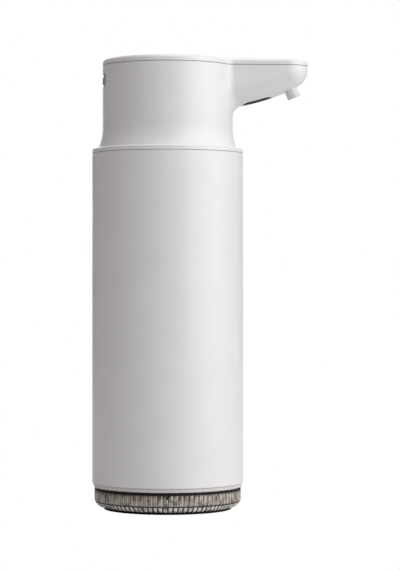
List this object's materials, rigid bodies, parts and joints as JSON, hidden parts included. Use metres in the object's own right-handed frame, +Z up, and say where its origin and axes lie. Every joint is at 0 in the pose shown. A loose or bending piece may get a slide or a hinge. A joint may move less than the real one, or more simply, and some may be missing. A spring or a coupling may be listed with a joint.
{
  "type": "soap dispenser",
  "caption": "Touch-free liquid soap dispenser: round column with a flat-topped spout, infrared sensor, clear twist-off tank and a keyhole for hanging on a wall.",
  "frame": {"origin": "centre of the foot's underside, on the column's axis", "axes": "+Z up along the column, +X towards the spout, the wall is on the -X side"},
  "size_m": [0.1, 0.07, 0.208],
  "materials": {
    "white_shell": "satin white moulded ABS",
    "white_sleeve": "satin white ABS tube",
    "white_cover": "satin white moulded ABS cover",
    "button_white": "fine matte white plastic",
    "light_guide": "milky translucent light guide",
    "grey_rubber": "warm grey soft rubber",
    "black_rubber": "black rubber",
    "seal_rubber": "dark silicone rubber",
    "ir_black": "polished infrared-passing black plastic",
    "clear_tank": "clear smoky tank plastic",
    "circuit_green": "green solder-masked board",
    "chip_black": "black moulded chip bodies",
    "steel": "plain steel",
    "zinc_screw": "zinc-plated steel",
    "bronze": "sintered bronze",
    "magnet_grey": "dark ferrite",
    "copper_core": "copper winding on a steel core",
    "gear_white": "natural acetal",
    "frame_black": "black glass-filled plastic",
    "pump_grey": "grey pump plastic",
    "cell_wrap": "blue shrink sleeve",
    "hose": "milky silicone hose",
    "dip_plastic": "translucent polyethylene",
    "hanger_white": "white reinforced plastic"
  },
  "bodies": {
    "housing": {"head_housing": "white_shell", "top_cover": "white_cover", "button_light_ring": "light_guide", "sensor_window": "ir_black", "sensor_board": "circuit_green", "ir_diodes": "ir_black", "nozzle_tip": "button_white", "sleeve": "white_sleeve", "hanger_socket": "hanger_white", "bayonet_ring": "hanger_white", "chassis": "frame_black", "chassis_gasket": "seal_rubber", "chassis_screws": "zinc_screw", "suction_port": "pump_grey", "suction_oring": "seal_rubber", "suction_tube": "hose", "dip_tube": "dip_plastic", "dip_strainer": "pump_grey", "battery_cell": "cell_wrap", "battery_cradle": "frame_black", "battery_contacts": "steel", "motor_can": "steel", "motor_bearing": "bronze", "motor_magnets": "magnet_grey", "motor_end_cap": "frame_black", "idler_pin": "steel", "gearbox_case": "pump_grey", "motor_screws": "zinc_screw", "pump_base": "pump_grey", "pump_cover": "pump_grey", "pump_tube": "hose", "outlet_tube": "hose", "main_board": "circuit_green", "board_screws": "zinc_screw", "board_chips": "chip_black", "usb_socket": "steel", "tact_switch": "chip_black", "sensor_cable": "hose"},
    "button": {"power_button": "button_white"},
    "port_flap": {"port_cover": "grey_rubber"},
    "motor_rotor": {"motor_armature": "copper_core", "drive_pinion": "gear_white"},
    "idler": {"idler_gear": "gear_white"},
    "pump_drive": {"output_gear": "gear_white", "pump_rotor": "gear_white", "roller_pins": "steel"},
    "roller_a": {"roller_1": "gear_white"},
    "roller_b": {"roller_2": "gear_white"},
    "roller_c": {"roller_3": "gear_white"},
    "lock_gasket": {"tank_gasket": "black_rubber"},
    "tank": {"tank": "clear_tank", "foot_pad": "black_rubber"}
  },
  "joints": [
    {"name": "button_press", "type": "slide", "parent": "housing", "child": "button", "axis": [0, 0, -1], "range_m": [0, 0.0008], "stiffness_N_per_m": 1500, "springref_m": -0.0004},
    {"name": "port_flap_open", "type": "hinge", "parent": "housing", "child": "port_flap", "pos_m": [-0.0294, 0, 0.19545], "axis": [0, -1, 0], "range_deg": [0, 95]},
    {"name": "motor_spin", "type": "hinge", "parent": "housing", "child": "motor_rotor", "pos_m": [0.008, 0, 0.15], "axis": [0, 0, 1], "continuous": true},
    {"name": "idler_spin", "type": "hinge", "parent": "housing", "child": "idler", "pos_m": [0.002, 0.01039, 0.17], "axis": [0, 0, 1], "continuous": true},
    {"name": "pump_spin", "type": "hinge", "parent": "housing", "child": "pump_drive", "pos_m": [0.008, 0, 0.18], "axis": [0, 0, 1], "continuous": true},
    {"name": "roller_a_spin", "type": "hinge", "parent": "pump_drive", "child": "roller_a", "pos_m": [0.008, 0.0069, 0.183], "axis": [0, 0, 1], "continuous": true},
    {"name": "roller_b_spin", "type": "hinge", "parent": "pump_drive", "child": "roller_b", "pos_m": [0.00202, -0.00345, 0.183], "axis": [0, 0, 1], "continuous": true},
    {"name": "roller_c_spin", "type": "hinge", "parent": "pump_drive", "child": "roller_c", "pos_m": [0.01398, -0.00345, 0.183], "axis": [0, 0, 1], "continuous": true},
    {"name": "tank_twist", "type": "hinge", "parent": "housing", "child": "lock_gasket", "pos_m": [0, 0, 0.0098], "axis": [0, 0, 1], "range_deg": [0, 30]},
    {"name": "tank_slide", "type": "slide", "parent": "lock_gasket", "child": "tank", "axis": [0, 0, -1], "range_m": [0, 0.15]}
  ],
  "couplings": [
    {"joint": "idler_spin", "follows": "motor_spin", "ratio": -0.33333},
    {"joint": "pump_spin", "follows": "motor_spin", "ratio": 0.11111},
    {"joint": "roller_a_spin", "follows": "motor_spin", "ratio": -0.40329},
    {"joint": "roller_b_spin", "follows": "motor_spin", "ratio": -0.40329},
    {"joint": "roller_c_spin", "follows": "motor_spin", "ratio": -0.40329}
  ]
}
